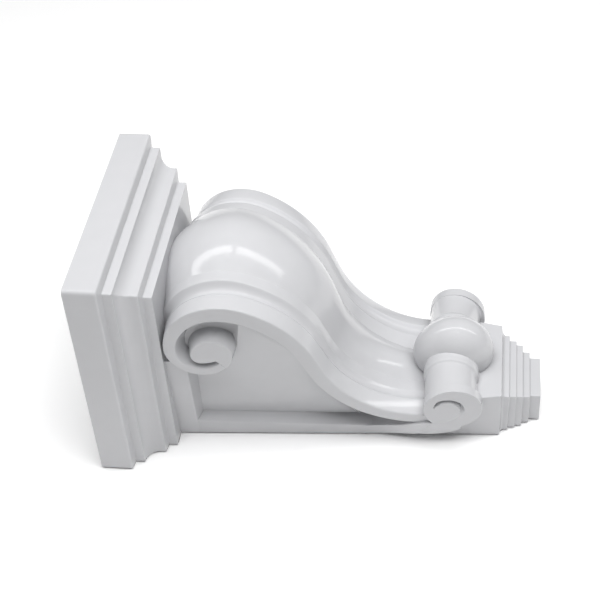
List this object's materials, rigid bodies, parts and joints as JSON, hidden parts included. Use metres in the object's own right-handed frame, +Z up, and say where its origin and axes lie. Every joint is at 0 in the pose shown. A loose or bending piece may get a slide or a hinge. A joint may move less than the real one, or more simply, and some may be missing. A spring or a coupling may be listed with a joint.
{
  "type": "corbel",
  "caption": "White moulded scroll corbel with a stepped square cap, an S-shaped body ending in side volutes, a cross pin with a bead, and a tapering stepped foot",
  "frame": {"origin": "on the flat back, in its middle from side to side and 150 mm above the tip of the foot, where the corbel is fixed to a wall", "axes": "+Z up, from the foot to the cap, +Y into the wall, so the scrolled front looks along -Y, +X to the side"},
  "size_m": [0.15, 0.146, 0.267],
  "materials": {
    "white_moulding": "smooth white gloss"
  },
  "bodies": {
    "root": {"corbel": "white_moulding"}
  },
  "joints": []
}
